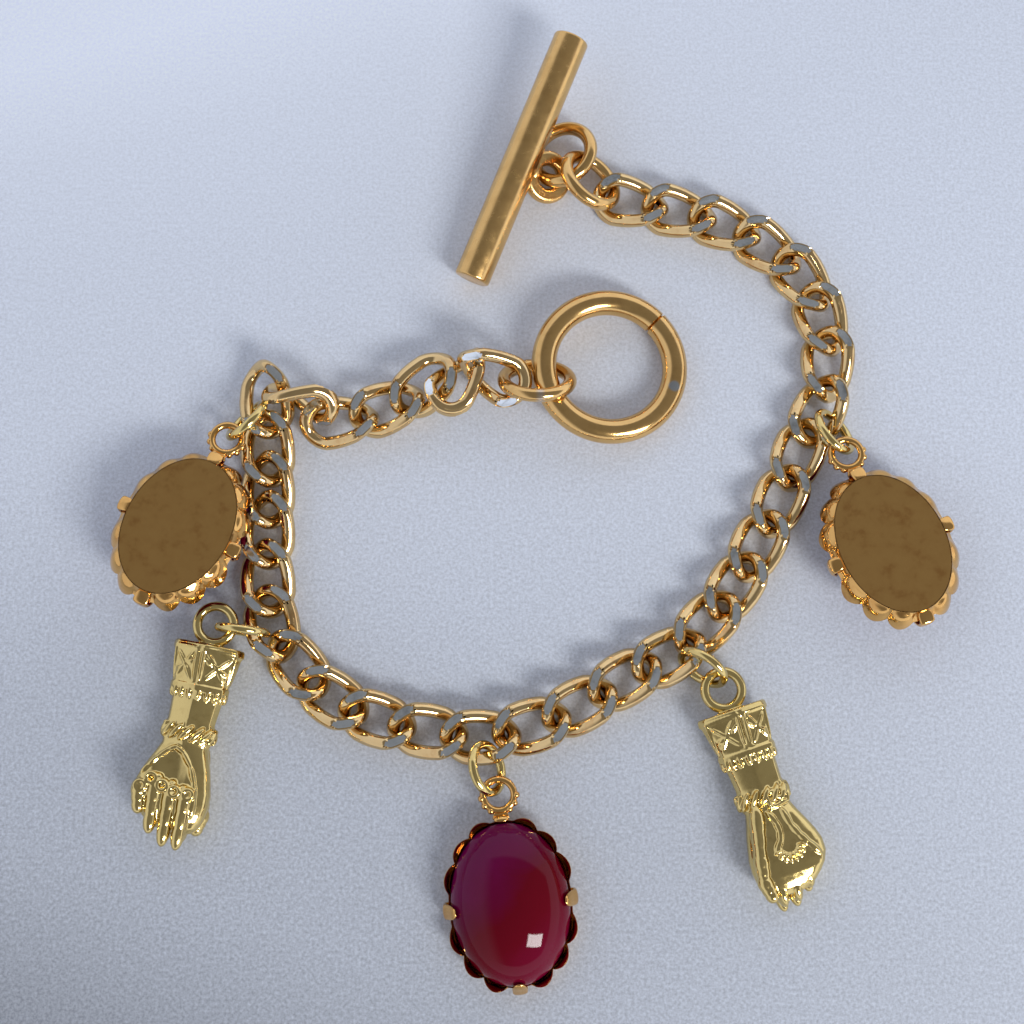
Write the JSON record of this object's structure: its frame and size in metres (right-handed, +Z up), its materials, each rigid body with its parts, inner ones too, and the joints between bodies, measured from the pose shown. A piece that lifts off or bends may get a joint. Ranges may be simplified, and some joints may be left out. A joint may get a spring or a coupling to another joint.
{
  "type": "charm bracelet",
  "caption": "Gold curb-link charm bracelet lying undone, with a toggle bar and ring, oval dark red stone charms and cast hand charms.",
  "frame": {"origin": "middle of the whole bracelet's box, on the surface it lies on", "axes": "+Z up from the surface, +Y to the far side where the toggle bar lies, +X to the right"},
  "size_m": [0.095, 0.1096, 0.0083],
  "materials": {
    "chain": "polished",
    "rings": "polished",
    "clasp": "brushed",
    "settings": "satin",
    "hands": "cast",
    "stones": "polished"
  },
  "bodies": {
    "root": {"link_01": "chain", "link_02": "chain", "link_03": "chain", "link_04": "chain", "link_05": "chain", "link_06": "chain", "link_07": "chain", "link_08": "chain", "link_09": "chain", "link_10": "chain", "link_11": "chain", "link_12": "chain", "link_13": "chain", "link_14": "chain", "link_15": "chain", "link_16": "chain", "link_17": "chain", "link_18": "chain", "link_19": "chain", "link_20": "chain", "link_21": "chain", "link_22": "chain", "link_23": "chain", "link_24": "chain", "link_25": "chain", "link_26": "chain", "link_27": "chain", "link_28": "chain", "link_29": "chain", "link_30": "chain", "link_31": "chain", "link_32": "chain", "link_33": "chain", "link_34": "chain", "toggle_bar": "clasp", "toggle_ring": "clasp", "ring_a": "rings", "ring_b": "rings", "end_ring": "rings", "jump_ruby": "rings", "jump_hand_right": "rings", "jump_hand_left": "rings", "jump_setting_right": "rings", "jump_setting_left": "rings", "setting_ruby": "settings", "setting_left": "settings", "setting_right": "settings", "cabochon_ruby": "stones", "cabochon_left": "stones", "cabochon_right": "stones", "hand_left": "hands", "hand_right": "hands"}
  },
  "joints": []
}
